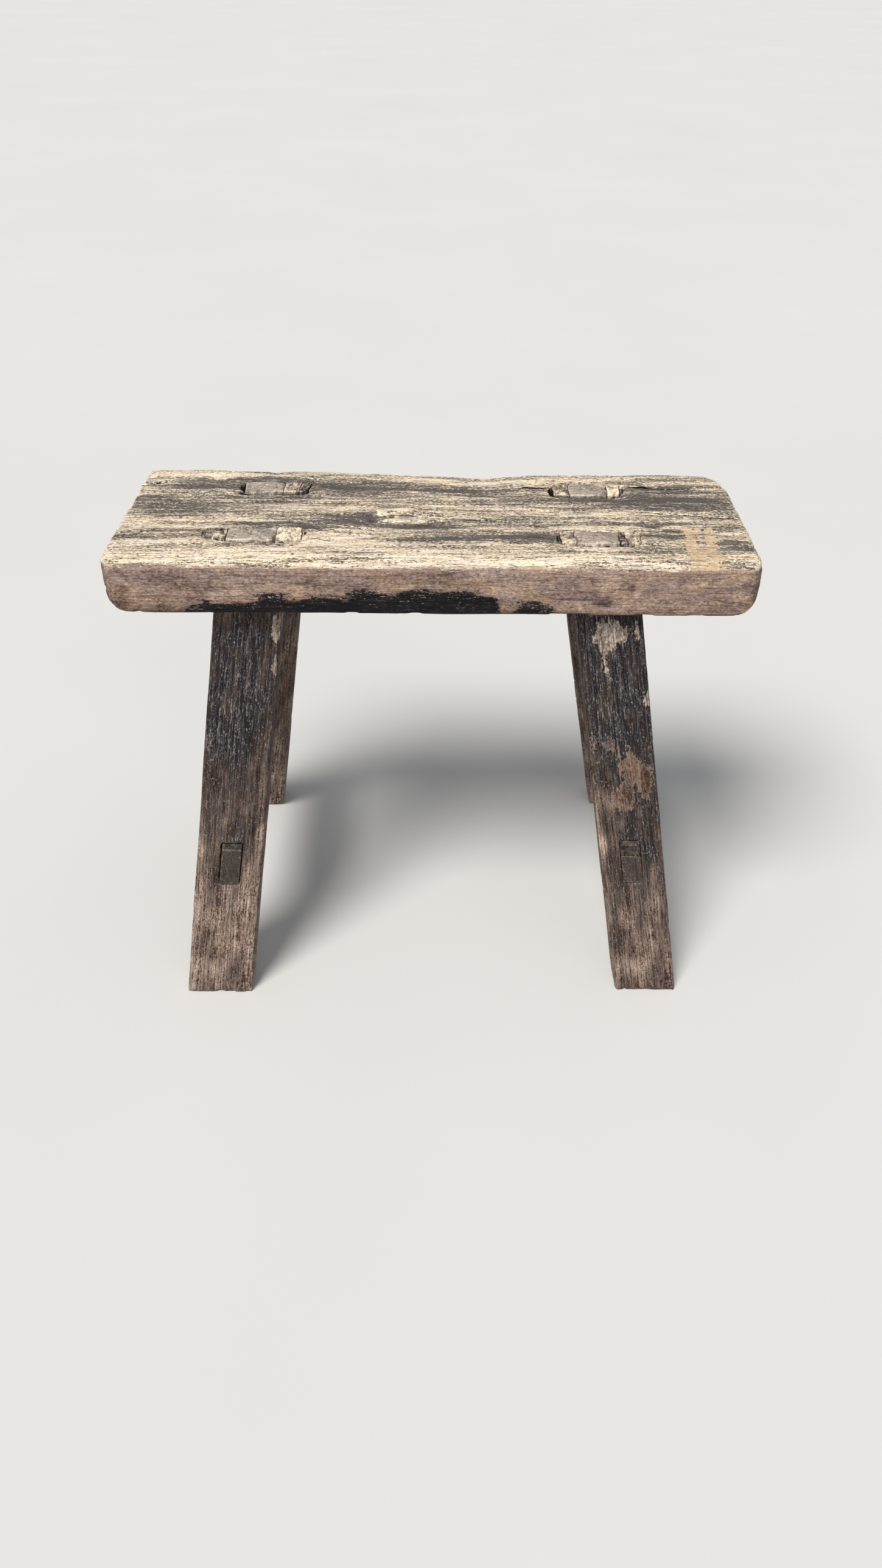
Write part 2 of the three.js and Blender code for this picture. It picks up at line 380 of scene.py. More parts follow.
def add_light(name, kind, location, energy, tint, **settings):
    """A light that points at the middle of the stool."""
    data = bpy.data.lights.new(name, kind)
    data.energy = energy
    data.color = tint
    for setting, value in settings.items():
        setattr(data, setting, value)
    light = bpy.data.objects.new(name, data)
    light.location = location
    aim = Vector((0, 0, SEAT_TOP * MM / 2)) - light.location
    light.rotation_euler = aim.to_track_quat("-Z", "Y").to_euler()
    bpy.context.scene.collection.objects.link(light)


def add_studio():
    bpy.ops.mesh.primitive_plane_add(size=40, location=(0, 0, 0))
    floor = bpy.context.object
    floor.name = "floor"
    graph = Graph("pale_floor")
    place = graph.add("TexCoord").outputs["Object"]
    cloud = graph.noise(place, (0.4, 0.4, 0.4))
    tone = graph.blend(cloud, colour(190, 189, 187), colour(198, 197, 195))
    floor.data.materials.append(graph.finish(tone, 0.85, 0.0))

    world = bpy.data.worlds.new("studio")
    world.use_nodes = True
    background = world.node_tree.nodes["Background"]
    background.inputs["Color"].default_value = colour(238, 242, 247)
    background.inputs["Strength"].default_value = 0.45
    bpy.context.scene.world = world
    bpy.context.scene.view_settings.view_transform = "Standard"
    add_light("window", "SUN", (-0.55, -0.7, 1.5), 4.0, (1.0, 0.975, 0.94), angle=math.radians(26))
    add_light("bounce", "SUN", (0.5, -1.3, 0.5), 0.55, (0.93, 0.96, 1.0), angle=math.radians(60))


add_camera()
add_studio()


# ---- wear shared by the seat and what is set in it ----

# How far the back of the top is worn down along the seat, where less than 0 is up: x, and depth.
HOLLOW = (
    (-152, -1.3), (-120, -1.4), (-95, -0.8), (-71, -1.1), (-47, -0.4), (-22, 0.4), (2, 0.9), (14, 1.5),
    (26, 2.4), (38, 1.2), (50, 0.3), (74, -0.3), (99, -0.6), (123, -0.6), (152, 0),
)


def seat_hollow(world):
    """How far the top has been worn down: most at the back edge, a little right of the middle."""
    x, y = world[:, 0], world[:, 1]
    hollow = np.interp(x, *np.transpose(HOLLOW)) * smoothstep(10, 50, y)
    ripple = 0.5 * fractal(world * [1, 1, 0], (45, 16, 1), 5, 2) - 0.25
    return hollow + ripple


def near_mortise(x, y):
    """1 beside the seat's four mortises, 0 away from them."""
    columns = np.maximum(*(smoothstep(34, 27, np.abs(x - middle)) for middle in MORTISE_COLUMNS))
    rows = np.maximum(*(smoothstep(14, 10, np.abs(y - middle)) for middle in MORTISE_ROWS))
    return columns * rows


# Where the edges of the joints lie farther back (+) or nearer (-) than in the CAD, in soft ovals:
# x, y, half length, half width, amount.
JOINT_SHIFTS = (
    (-85, 24, 26, 6, 2.2), (-84, -29, 24, 5, -0.9), (79, -24, 26, 9, 1.0), (79, 38, 22, 5, 0.8),
)


def joint_warp(world):
    """Sideways shifts that put the mortises' mouths, and what fills them, out of true together."""
    x, y, z = world.T
    level = world * [1, 1, 0]
    column = np.where(x < 0, *MORTISE_COLUMNS)
    row = np.where(y < np.mean(MORTISE_ROWS), *MORTISE_ROWS)
    from_middle = np.clip(np.abs(x - column) / MORTISE_HALF_LENGTH, 0, 1.2)
    pinch = -0.22 * (y - row) * from_middle ** 4
    shift = np.stack([
        1.8 * fractal(level, (9, 6, 1), 201, 2) - 0.9,
        2.2 * fractal(level, (7, 9, 1), 211, 2) - 1.1 + pinch + zone_sum(x, y, JOINT_SHIFTS),
        np.zeros(len(x)),
    ], axis=1)
    return shift * (smoothstep(SEAT_TOP - 9, SEAT_TOP - 2, z) * near_mortise(x, y))[:, None]


def follow_seat(board, proud=0.0):
    """Gives what is at seat height the wear of the seat's top and the warp of its joints.

    proud is how far it then stands above the seat.
    """
    world = board.world()
    share = np.clip((world[:, 2] - SEAT_BOTTOM) / SEAT_THICKNESS, 0, 1)
    board.points[:, 2] -= share * (seat_hollow(world) - proud)
    board.points += joint_warp(world)


def chips(board, depth, size, seed, share=0.55):
    """Breaks small pieces out of the edges, where the noise is above share."""
    noise = fractal(board.rest, size, seed, 3)
    where = smoothstep(share, share + 0.1, noise)
    sharp = np.clip(board.fields["edge"] / 0.5, 0, 1)
    board.sink(depth * where * sharp)


# ---- the seat plank ----

# The knot in the top: its middle, how far its swirl reaches along and across the seat, and how far
# it pushes the grain aside. Its proud lobes and the clefts between them are soft ovals, as below.
KNOT = np.array([-18.0, -3.0])
KNOT_LENGTH, KNOT_WIDTH, KNOT_PUSH = 24.0, 13.0, 7.0
KNOT_LOBES = ((-14, 6, 6.5, 2.6, 1.1), (-14, -5, 6, 3.6, 1.1), (-21, -6.5, 5, 1.6, 0.9),
              (-8, -6.5, 4, 2, 0.8), (-24.5, 1.5, 2.8, 2.4, 1), (-26, 5, 4, 2, 0.7))
KNOT_CLEFTS = ((-13, 2, 6, 0.8, 1), (-20, 0, 2, 2.5, 0.8), (-4, 5, 2, 3, 0.6), (-5, -10.5, 7, 1.8, 0.8),
               (-30, -5, 4, 4, 0.6), (-20, 9.5, 3, 0.8, 0.7))

# Rubbed bare (+) or still painted (-): x, y, half length, half width, amount.
TOP_ZONES = (
    (-115, 47, 35, 5, 0.6), (-140, 36, 12, 6, 0.3), (10, 46, 55, 4, 0.5), (50, 40, 30, 4, 0.5),
    (0, -42, 150, 8, 0.5), (0, -50, 170, 5, 0.4), (-50, -28, 30, 7, 0.55), (-100, -8, 14, 7, 0.35),
    (60, -14, 22, 4, 0.4), (95, -12, 20, 3, 0.35), (75, -36, 25, 4, 0.4), (30, 10, 40, 10, 0.2),
    (-130, -30, 20, 8, 0.3), (-140, -12, 10, 3, 0.3), (-120, -16, 25, 2, 0.4), (140, 38, 10, 12, 0.3),
    (125, 5, 20, 2, 0.3),
    (118, 20, 36, 15, -0.9), (110, -18, 14, 8, -0.6), (100, -35, 10, 4, -0.4),
    (-60, 38, 60, 7, -0.45), (-110, 28, 35, 6, -0.5), (-120, 38, 25, 3, -0.5),
    (-120, 6, 30, 8, -0.45), (-20, 32, 50, 8, -0.5), (-35, -8, 20, 6, -0.5),
    (-5, -12, 16, 4, -0.9), (-36, -3, 10, 7, -0.6), (3, 4, 6, 4, -0.3), (-84, -11, 24, 2, -0.6),
    (-59, -14, 8, 3, -0.7), (80, -9, 27, 3, -0.6), (-80, 20, 28, 4, -0.45), (78, 19, 30, 5, -0.5),
    (-84, -31, 16, 1.5, -0.4), (30, -24, 45, 4, -0.45), (0, -28, 30, 3, -0.3), (52, -26, 12, 8, -0.7),
    (-60, -17, 15, 3, -0.5), (-70, -32, 10, 3, -0.5), (-125, -24, 20, 4, -0.2),
    (142, -35, 8, 12, -0.3),
)

# Splits along the grain of the top: x and y of each end, and half width. They wave from side to side
# by the sum of some sines, each given by its rate along the seat and its size.
CRACKS = (
    (92, 36.5, 137, 33, 0.7), (30, 37, 62, 34.5, 0.6), (100, 5.5, 152, -1.5, 0.6),
    (44, 8, 62, 5.5, 0.35), (-152, 33, -132, 37, 0.6), (10, -4, 55, -8, 0.3),
    (-60, -21, -22, -26, 0.35), (-45, -11, -24, -19, 0.3),
)
CRACK_WAVES = ((0.31, 0.5), (0.83, 0.25))

# The upper edge of the tar on the front face: x, and height above the seat's underside.
TAR_EDGE = (
    (-160, -4), (-128, -1), (-104, 5), (-95, 7), (-70, 10), (-30, 11.5), (0, 12.5), (15, 12),
    (28, 10), (33, 4), (37, 5), (45, 8), (55, 5), (59, 1), (80, -4), (160, -6),
)

# Gaps beside the tenons and wedges, painted near-black as painted shade: x, y, half length, half width,
# amount.
GOUGES = (
    (-84, 23.6, 13, 1.5, 1.6), (-96, 31, 1.3, 5, 1.0), (-86, -30.2, 13, 1.3, 1.5), (-66, -30, 5, 1.3, 1.0),
    (-60.5, -20, 1.2, 5, 0.9), (61, 31, 2.2, 5, 1.3), (96, 32, 1.1, 6, 1.0), (59.5, -25, 1.1, 5, 1.0),
    (82, -32.6, 16, 1.2, 1.3), (-108, -22, 1.1, 5, 0.8), (78, 23.6, 12, 1.2, 1.1), (-64, 24, 5, 1.3, 1.2),
)

# How round the plank is worn: under its ends, at its front corners and its back right one as seen from
# above, and along the front and the ends of its top. The back right corner is worn a little short too.
UNDER_END_ROUND, FRONT_CORNER_ROUND, BACK_CORNER_ROUND = 13.5, 5.0, 17.0
FRONT_EDGE_ROUND, END_EDGE_ROUND = 7.0, 3.0
BACK_CORNER_INSET = 1.0

# Two corners of the ochre patch that is brushed on the top, which runs out over the front edge.
BRUSHED_LOW, BRUSHED_HIGH = (116.0, -60.0), (134.0, -12.0)

# The middle of the ends' growth rings, which lies below the seat.
PITH = (0.0, 12.0, 150.0)

# Within this x and y, what lies deeper than the top and the underside is a mortise's wall.
INSIDE_X, INSIDE_Y = 125, 44

# Lighter (+) and darker (-) parts of the front face: x, height above the underside, half length,
# half height, amount.
FRONT_ZONES = (
    (-149, 3, 9, 9, -0.9), (-122, 2, 20, 3, -0.7), (150, 6, 5, 12, -0.4), (-60, 25, 50, 2.5, 0.4),
    (0, 20, 30, 4, -0.2), (60, 20, 40, 6, 0.2), (110, 14, 20, 8, 0.15), (-98, 17, 3, 8, 0.3),
    (92, 15, 3, 2, -1.0), (80, 7, 3, 2.5, -0.9), (-118, 17, 4, 5, -0.5), (95, 12, 2, 1.5, 0.7),
    (-90, 11, 4, 1.5, 0.9), (-72, 9.5, 3, 1.2, 0.7), (83, 4.5, 3, 1, 0.7), (128, 17, 8, 6, 0.2),
)


def crack_wobble(x):
    return sum(size * np.sin(x * rate) for rate, size in CRACK_WAVES)


def knot_field(x, y):
    """1 in the middle of the knot, falling to 0 round it."""
    return np.exp(-((x - KNOT[0]) / KNOT_LENGTH) ** 2 - ((y - KNOT[1]) / KNOT_WIDTH) ** 2)


def crack_depth(x, y):
    """From 0 to 1 near the splits of the top."""
    depth = np.zeros(len(x))
    for x0, y0, x1, y1, width in CRACKS:
        along = np.clip((x - x0) / (x1 - x0), 0, 1)
        middle = y0 + (y1 - y0) * along + crack_wobble(x)
        taper = 4 * along * (1 - along)
        reach = 0.3 + width * np.sqrt(taper)
        depth = np.maximum(depth, np.sqrt(taper) * np.exp(-((y - middle) / reach) ** 2))
    return depth


def round_edge(points, axes, corner, signs, radius):
    """Rounds the edge that runs past corner, where corner and signs are along the two axes."""
    middle = [place - sign * radius for place, sign in zip(corner, signs)]
    beyond = [sign * (points[:, axis] - place) for axis, place, sign in zip(axes, middle, signs)]
    reach = np.hypot(*beyond)
    outside = (beyond[0] > 0) & (beyond[1] > 0) & (reach > radius)
    shrink = np.where(outside, radius / np.maximum(reach, 1e-6), 1.0)
    for axis, place, sign, far in zip(axes, middle, signs, beyond):
        points[:, axis] = np.where(outside, place + sign * far * shrink, points[:, axis])


def round_plank(points):
    """Rounds the plank's edges, and its corners as seen from above."""
    for sign, tip in ((-1, SEAT_LOW[0]), (1, SEAT_HIGH[0])):
        round_edge(points, (0, 2), (tip, SEAT_BOTTOM), (sign, -1), UNDER_END_ROUND)
        round_edge(points, (0, 2), (tip, SEAT_TOP), (sign, 1), END_EDGE_ROUND)
        round_edge(points, (0, 1), (tip, SEAT_LOW[1]), (sign, -1), FRONT_CORNER_ROUND)
    back_corner = (SEAT_HIGH[0] - BACK_CORNER_INSET, SEAT_HIGH[1])
    round_edge(points, (0, 1), back_corner, (1, 1), BACK_CORNER_ROUND)
    round_edge(points, (1, 2), (SEAT_LOW[1], SEAT_TOP), (-1, 1), FRONT_EDGE_ROUND)


def swirl_grain(seat):
    """Parts the grain round the knot."""
    x, y, _ = seat.rest.T
    from_knot = y - KNOT[1]
    push = KNOT_PUSH * knot_field(x, y) * np.sign(from_knot) * smoothstep(0, 6, np.abs(from_knot))
    seat.grain = seat.grain + np.stack([np.zeros(len(x)), -push, np.zeros(len(x))], axis=1)


def carve_top(seat, top):
    """The knot with its lobes and clefts, the splits, and the gaps beside the tenons."""
    x, y, z = seat.rest.T
    lobes = np.clip(zone_sum(x, y, KNOT_LOBES), 0, 1)
    clefts = zone_sum(x, y, KNOT_CLEFTS)
    gouges = zone_sum(x, y, GOUGES)
    facets = 0.6 + 0.9 * fractal(seat.rest, (4, 2.5, 4), 17, 2)
    seat.sink(top * (0.8 * knot_field(x, y) - 1.2 * lobes * facets + 1.2 * clefts + 0.9 * crack_depth(x, y)))
    gouges = gouges * smoothstep(SEAT_TOP - 4, SEAT_TOP - 2, z) * (0.3 + 1.1 * fractal(seat.rest, 3, 15))
    seat.sink(1.2 * gouges)
    seat.fields["gouge"] = gouges
    seat.fields["lobe"] = lobes * top
    seat.fields["cleft"] = np.clip(clefts, 0, 1) * top


def raise_grain(seat, outside, top, front):
    """Ridges and furrows along the grain, and pits in the front face."""
    relief = fractal(seat.grain, (40, 2.4, 2.4), 21, 3)
    furrow = 1 - np.abs(2 * fractal(seat.grain, (55, 4.2, 4.2), 27, 2) - 1)
    seat.sink(outside * ((0.55 - 0.25 * front) * (0.62 - relief) + 0.3 * top * smoothstep(0.8, 1, furrow)))
    pits = fractal(seat.rest @ Matrix.Rotation(0.5, 3, "Y"), (3.0, 6, 9), 35, 3)
    seat.sink(front * 0.5 * (pits - 0.4))
    seat.fields["relief"] = relief


def seat_board():
    seat = Board("seat_plank", SEAT_VOXEL, "X")
    x, y, z = seat.rest.T
    low = z - SEAT_BOTTOM
    top = smoothstep(0.4, 0.9, seat.facing[:, 2])
    front = smoothstep(0.4, 0.9, -seat.facing[:, 1])
    from_faces = np.minimum(SEAT_TOP - z, low)
    in_mortise = (np.abs(x) < INSIDE_X) & (np.abs(y) < INSIDE_Y)
    outside = 1 - in_mortise * smoothstep(0.5, 3, from_faces)
    calm = 1 - 0.5 * near_mortise(x, y)

    swirl_grain(seat)
    round_plank(seat.points)
    follow_seat(seat)
    seat.sink(outside * (0.9 * fractal(seat.rest, (40, 18, 12), 31) - 0.35))
    seat.soften(16, outside * calm * (0.3 + 0.6 * fractal(seat.rest, 16, 3)))
    chips(seat, 1.0, (9, 6, 6), 11)
    seat.fields["edge"] = seat.fields["edge"] * (1 - 0.85 * near_mortise(x, y))
    carve_top(seat, top)
    raise_grain(seat, outside, top, front)

    seat.fields["top"] = smoothstep(0.35, 0.65, seat.facing[:, 2])
    seat.fields["end"] = smoothstep(0.5, 0.9, np.abs(seat.facing[:, 0]))
    seat.fields["under"] = smoothstep(0.3, 0.7, -seat.facing[:, 2])
    seat.fields["bare"] = zone_sum(x, y, TOP_ZONES)
    seat.fields["shade"] = zone_sum(x, low, FRONT_ZONES)
    seat.fields["tar"] = np.where(front > 0.1, np.interp(x, *np.transpose(TAR_EDGE)) - low, -8)
    seat.fields["level"] = SEAT_TOP - z
    seat.fields["hole"] = 1 - outside
    (x0, y0), (x1, y1) = BRUSHED_LOW, BRUSHED_HIGH
    seat.fields["brushed"] = np.minimum(np.minimum(x - x0, x1 - x), np.minimum(y - y0, y1 - y))
    return seat


class SeatLook(Graph):
    """The seat's material: its noises are made once, and each method mixes one surface from them."""

    def __init__(self):
        super().__init__("painted_seat")
        self.grain = self.vector("grain")
        place = self.add("VectorMath", self.add("TexCoord").outputs["Object"], operation="SCALE")
        place.inputs["Scale"].default_value = 1 / MM
        self.place = place.outputs[0]
        self.islands = self.noise(self.grain, (60, 4.2, 4.2), 4, 0.6)
        self.streaks = self.noise(self.grain, (22, 1.4, 1.4), 4, 0.75, 7)
        self.fibres = self.noise(self.grain, (8, 0.55, 0.55), 3, 0.75, 13)
        self.grit = self.noise(self.grain, (1.8, 0.5, 0.5), 4, 0.8, 17)
        self.specks = self.noise(self.place, (1.5, 0.9, 0.9), 4, 0.75, 19)
        self.clouds = self.noise(self.place, (16, 9, 9), 3, 0.5, 23)
        self.grime = self.noise(self.place, (24, 24, 10), 4, 0.6, 41)
        self.blotches = self.noise(self.place, (9, 6, 5), 5, 0.65, 43)
        self.edge = self.step(self.field("edge"), 0.1, 0.6)
        self.mottle = self.sway(0.55, (self.grit, 1.5), (self.specks, 1.2), (self.streaks, 0.8))
        self.side_tone = self.sway(
            self.total(0.52, (self.field("shade"), 0.4), (self.edge, 0.25)),
            (self.streaks, 0.2), (self.fibres, 0.25), (self.specks, 1.6), (self.grit, 0.5),
            (self.blotches, 0.9), (self.grime, -0.5),
        )

    def painted_top(self):
        """Grey paint rubbed off cream wood, with dirt in the grain and pale edges, partly a painted
        highlight.
        """
        # The edge term makes the rounded edges paler: partly rubbed wood, partly a painted highlight.
        wear = self.sway(
            self.total(0.49, (self.field("bare"), 0.65), (self.edge, 0.35)),
            (self.islands, 2.0), (self.streaks, 2.1), (self.fibres, 1.7), (self.specks, 2.0),
            (self.field("relief"), 0.5),
        )
        top = self.ramp(
            self.sway(wear, (self.grit, 3.6)),
            (0.0, 98, 92, 88), (0.25, 123, 115, 107), (0.42, 137, 126, 115), (0.485, 152, 137, 121),
            (0.52, 188, 170, 149), (0.565, 232, 215, 189), (0.7, 250, 237, 214), (0.96, 255, 250, 238),
        )
        shading = self.sway(0.5, (self.fibres, 1.3), (self.grit, 1.6), (self.specks, 0.8))
        shading = self.ramp(shading, (0.15, 182, 177, 173), (0.45, 250, 249, 248), (0.6, 255, 255, 255))
        top = self.blend(1.0, top, shading, "MULTIPLY")
        tint = self.blend(self.step(self.clouds, 0.4, 0.6), colour(255, 239, 212), colour(252, 236, 226))
        top = self.blend(self.times(self.step(wear, 0.5, 0.6), 0.7), top, tint, "MULTIPLY")
        dirt = self.step(self.sway(0.5, (self.grit, 1.6), (self.specks, 1.4)), 0.3, 0.12)
        top = self.blend(self.times(dirt, 0.7), top, colour(88, 74, 64))
        # Pale flecks on the rounded edges: partly rubbed wood, partly a painted highlight where the edges
        # catch the light.
        chalk_and_highlight = self.step(self.sway(self.edge, (self.specks, 2.2), (self.grit, 1.6)), 0.5, 0.7)
        return self.blend(self.times(chalk_and_highlight, 0.8), top, colour(244, 234, 216))

    def with_knot(self, top):
        """Pale lobes and dark clefts where the knot is."""
        knot = self.ramp(
            self.mottle, (0.1, 120, 100, 84), (0.35, 206, 182, 150), (0.55, 242, 226, 198),
            (0.8, 255, 250, 236),
        )
        lobe = self.sway(self.field("lobe"), (self.specks, 1.2), (self.streaks, 0.5))
        top = self.blend(self.step(lobe, 0.42, 0.47), top, knot)
        cleft = self.step(self.sway(self.field("cleft"), (self.specks, 0.6)), 0.4, 0.6)
        return self.blend(self.times(cleft, 0.85), top, colour(58, 50, 46))

    def with_scratches(self, top):
        scratches = self.lines(self.place, (30, 3, 30), 0.006, 71, 0.3)
        scratches = self.times(scratches, self.step(self.clouds, 0.5, 0.6))
        return self.blend(self.times(scratches, 0.6), top, colour(228, 212, 190))

    def with_brushed_patch(self, top):
        """Ochre strokes across the grain, ragged where the patch ends."""
        inside = self.math("MINIMUM", self.total(-0.05, (self.field("brushed"), 0.07)), 0.22)
        strokes = self.noise(self.place, (2.2, 16, 16), 4, 0.65, 37)
        brushed = self.sway(inside, (strokes, 1.5), (self.streaks, 0.9), (self.specks, 0.3))
        ochre = self.ramp(self.mottle, (0.15, 150, 126, 104), (0.5, 214, 184, 150), (0.8, 240, 220, 190))
        return self.blend(self.step(brushed, 0.0, 0.06), top, ochre)

    def front_wood(self):
        """Brown wood, warmer in some clouds and greyer in others."""
        wood = self.ramp(
            self.side_tone, (0.05, 74, 60, 52), (0.3, 121, 101, 90), (0.5, 156, 135, 122),
            (0.68, 178, 157, 142), (0.95, 224, 204, 186),
        )
        hue = self.blend(self.step(self.grime, 0.4, 0.6), colour(255, 242, 228), colour(245, 241, 250))
        return self.blend(0.8, wood, hue, "MULTIPLY")

    def end_wood(self):
        """The ends' growth rings, seen across the grain."""
        from_pith = self.add("VectorMath", self.place, PITH, operation="SUBTRACT").outputs[0]
        from_pith = self.add("VectorMath", from_pith, (0.0, 1.0, 1.0), operation="MULTIPLY").outputs[0]
        radius = self.add("VectorMath", from_pith, operation="LENGTH").outputs["Value"]
        radius = self.sway(radius, (self.blotches, 5.0))
        rings = self.noise(self.add("CombineXYZ", radius).outputs[0], (1.6, 1, 1), 2, 0.6, 47)
        pores = self.noise(self.place, (3, 0.7, 0.7), 3, 0.75, 59)
        rings = self.sway(
            rings, (self.specks, 0.8), (pores, 1.0), (self.grime, 0.7), (self.blotches, 0.6),
        )
        return self.ramp(
            rings, (0.15, 66, 53, 46), (0.42, 108, 89, 77), (0.6, 140, 119, 104), (0.9, 186, 166, 146),
        )

    def surfaces(self):
        """The top, the front and back, the ends and the underside, each where it belongs."""
        top = self.with_brushed_patch(self.with_scratches(self.with_knot(self.painted_top())))
        level = self.field("level")
        on_top = self.sway(level, (self.specks, 9.0), (self.streaks, 4.0), (self.blotches, 8.0))
        base = self.blend(self.step(on_top, 2.4, 4.6), top, self.front_wood())
        on_end = self.times(self.field("end"), self.step(level, 2, 5))
        base = self.blend(on_end, base, self.end_wood())
        under = self.ramp(self.side_tone, (0.2, 62, 50, 43), (0.5, 98, 82, 70), (0.8, 132, 112, 96))
        return self.blend(self.field("under"), base, under)

    def tar_mask(self):
        """1 below the ragged line of the tar on the front, with places where it wore off."""
        line = self.sway(
            self.field("tar"), (self.specks, 12.0), (self.streaks, 9.0), (self.grime, 16.0),
            (self.blotches, 14.0), (self.fibres, 4.0),
        )
        worn = self.sway(self.total(0.5, (line, -0.02)), (self.fibres, 1.1), (self.specks, 1.5))
        return self.times(self.step(line, -0.3, 0.3), self.step(worn, 0.7, 0.64))

    def tar_colour(self):
        tone = self.sway(0.5, (self.fibres, 0.9), (self.specks, 1.2), (self.blotches, 0.6))
        return self.ramp(
            tone, (0.3, 7, 7, 10), (0.5, 15, 14, 18), (0.65, 36, 34, 38), (0.85, 92, 84, 82),
        )

    def crack_mask(self):
        """The same splits as crack_depth, drawn sharply."""
        split = self.add("SeparateXYZ", self.place)
        x, y = split.outputs[0], split.outputs[1]
        waves = [(self.math("SINE", self.times(x, rate)), size) for rate, size in CRACK_WAVES]
        wobble = self.total(0.0, *waves)
        crack = 0.0
        for x0, y0, x1, y1, width in CRACKS:
            along = self.add("MapRange", x, x0, x1, 0.0, 1.0).outputs[0]
            middle = self.math("ADD", self.add("MapRange", x, x0, x1, y0, y1).outputs[0], wobble)
            taper = self.times(self.times(along, self.math("SUBTRACT", 1.0, along)), 4.0 * width)
            off = self.math("ABSOLUTE", self.math("SUBTRACT", y, middle))
            off = self.sway(off, (self.specks, 0.9))
            inside = self.step(self.math("SUBTRACT", taper, off), 0.0, 0.15)
            crack = self.math("MAXIMUM", crack, inside)
        return self.times(crack, self.field("top"))


def seat_material():
    look = SeatLook()
    base = look.surfaces()
    tar = look.tar_mask()
    base = look.blend(tar, base, look.tar_colour())
    checks = look.lines(look.grain, (44, 1.3, 1.3), 0.016, 53)
    base = look.blend(look.times(checks, 0.6), base, colour(60, 50, 43))
    crack = look.crack_mask()
    base = look.blend(crack, base, colour(20, 17, 16))
    # The gaps beside the tenons and the mortise walls are painted near-black: painted shade between the
    # parts.
    gouge = look.step(look.sway(look.field("gouge"), (look.specks, 0.8)), 0.4, 0.6)
    base = look.blend(look.math("MAXIMUM", look.field("hole"), gouge), base, colour(26, 21, 19))

    height = look.total(
        0.0, (look.specks, 1.0), (look.fibres, 0.4), (look.grit, 0.3), (look.streaks, 0.7),
        (tar, 0.08), (checks, -0.25), (crack, -0.5),
    )
    gloss = look.total(look.sway(0.75, (look.specks, 0.25)), (tar, -0.15))
    return look.finish(base, gloss, height)


# ---- the legs ----

# How much black paint is left down each leg: height, and amount from 0 to 1.
LEG_PAINT = {
    "front_left": ((0, 0.2), (55, 0.24), (70, 0.34), (90, 0.44), (120, 0.52), (135, 0.66),
                   (190, 0.68), (197, 0.46), (210, 0.4)),
    "front_right": ((0, 0.3), (50, 0.34), (62, 0.4), (95, 0.46), (125, 0.54), (140, 0.68), (210, 0.72)),
    "back_left": ((0, 0.15), (60, 0.3), (140, 0.5), (210, 0.6)),
    "back_right": ((0, 0.15), (60, 0.3), (140, 0.5), (210, 0.6)),
}
# Soft changes to the paint on the outer face: across, height, half width, half height, amount.
LEG_ZONES = {
    "front_left": ((-16, 80, 4, 90, -0.18), (15, 100, 3, 90, -0.2), (0, 145, 12, 14, 0.1)),
    "front_right": ((-16, 120, 3, 60, -0.3), (-11, 112, 5, 10, -0.3), (-14, 87, 4, 5, -0.3),
                    (3, 80, 13, 9, 0.15), (4, 118, 15, 20, 0.2), (13, 60, 4, 30, -0.1),
                    (0, 16, 14, 8, -0.15)),
    "back_left": ((5, 120, 8, 10, -0.4),),
    "back_right": ((-5, 140, 8, 10, -0.4),),
}
# Where paint flaked off clean: across, height, half width, half height, amount.
LEG_FLAKES = {
    "front_left": ((15.2, 194, 2.4, 8, 0.95), (15.4, 176, 2.2, 6, 0.9), (4, 207, 10, 3, 0.5)),
    "front_right": ((-2, 192, 7, 8, 0.8), (-4, 180, 2.5, 9, 0.8), (7.5, 195, 5, 4, 0.7),
                    (5, 127, 8, 10, 0.95), (-1, 110, 8, 7, 0.95), (-6, 138, 5, 4, 0.6), (11, 118, 3, 8, 0.8),
                    (16, 162, 2.5, 5, 0.9)),
    "back_left": ((-6, 176, 5, 8, 0.9),),
    "back_right": ((7, 160, 4, 9, 0.9),),
}

# The walls of the stretcher's mortise lie within this half width and between these heights, and a
# leg's front and back faces are this far from its middle.
LEG_MORTISE_HALF_WIDTH, LEG_MORTISE_LOW, LEG_MORTISE_HIGH = 12, 55, 95
LEG_HALF_DEPTH = 9.2

# Flaked patches are brown below the first height and pale above the second.
FLAKES_BROWN_BELOW, FLAKES_PALE_ABOVE = 140, 150


